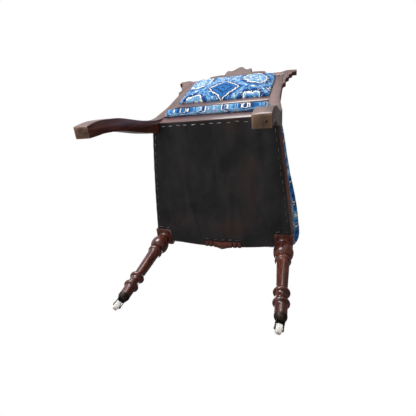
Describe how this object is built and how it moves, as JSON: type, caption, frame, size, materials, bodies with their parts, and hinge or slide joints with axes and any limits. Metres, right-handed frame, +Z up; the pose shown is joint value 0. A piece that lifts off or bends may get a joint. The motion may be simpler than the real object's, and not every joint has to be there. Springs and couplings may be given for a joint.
{
  "type": "occasional chair",
  "caption": "Armless upholstered parlour chair with turned front legs on casters, sabre rear legs and a raked back under a shaped crest.",
  "frame": {"origin": "middle of the chair's width and depth, on the floor", "axes": "+Z up, -Y to the front of the seat, +X to the sitter's left"},
  "size_m": [0.5446, 0.6514, 0.9407],
  "materials": {
    "walnut": "satin",
    "beech": "matte",
    "screw_steel": "satin",
    "caster_iron": "satin",
    "axle_steel": "satin",
    "white_china": "gloss",
    "jute_webbing": "matte",
    "spring_wire": "satin",
    "hessian": "matte",
    "horsehair": "matte",
    "figured_velvet": "matte",
    "black_cambric": "matte"
  },
  "bodies": {
    "root": {"rear_leg_left": "walnut", "rear_leg_right": "walnut", "front_leg_left": "walnut", "front_leg_right": "walnut", "front_rail": "walnut", "rear_rail": "walnut", "side_rail_left": "walnut", "side_rail_right": "walnut", "front_pendant": "walnut", "back_cross_rail": "walnut", "crest_rail": "walnut", "crest_pediment": "walnut", "ear_left": "walnut", "ear_right": "walnut", "corner_blocks": "beech", "seat_dowels": "beech", "back_dowels": "beech", "corner_screws": "screw_steel", "caster_cup_left": "caster_iron", "caster_cup_right": "caster_iron", "seat_webbing_across": "jute_webbing", "seat_webbing_along": "jute_webbing", "back_webbing": "jute_webbing", "seat_springs": "spring_wire", "seat_hessian": "hessian", "back_hessian": "hessian", "seat_padding": "horsehair", "seat_cover": "figured_velvet", "back_pad": "figured_velvet", "outside_back_panel": "figured_velvet", "dust_cover": "black_cambric"},
    "fork_left": {"caster_fork_left": "caster_iron", "caster_axle_left": "axle_steel"},
    "fork_right": {"caster_fork_right": "caster_iron", "caster_axle_right": "axle_steel"},
    "wheel_left": {"caster_wheel_left": "white_china"},
    "wheel_right": {"caster_wheel_right": "white_china"}
  },
  "joints": [
    {"name": "caster_left_swivel", "type": "hinge", "parent": "root", "child": "fork_left", "pos_m": [0.22332, -0.30382, 0.033], "axis": [0, 0, 1], "continuous": true},
    {"name": "caster_left_roll", "type": "hinge", "parent": "fork_left", "child": "wheel_left", "pos_m": [0.22886, -0.31092, 0.013], "axis": [0.788, 0.6157, 0], "continuous": true},
    {"name": "caster_right_swivel", "type": "hinge", "parent": "root", "child": "fork_right", "pos_m": [-0.22332, -0.30382, 0.033], "axis": [0, 0, 1], "continuous": true},
    {"name": "caster_right_roll", "type": "hinge", "parent": "fork_right", "child": "wheel_right", "pos_m": [-0.22054, -0.31238, 0.013], "axis": [0.9511, 0.309, 0], "continuous": true}
  ]
}
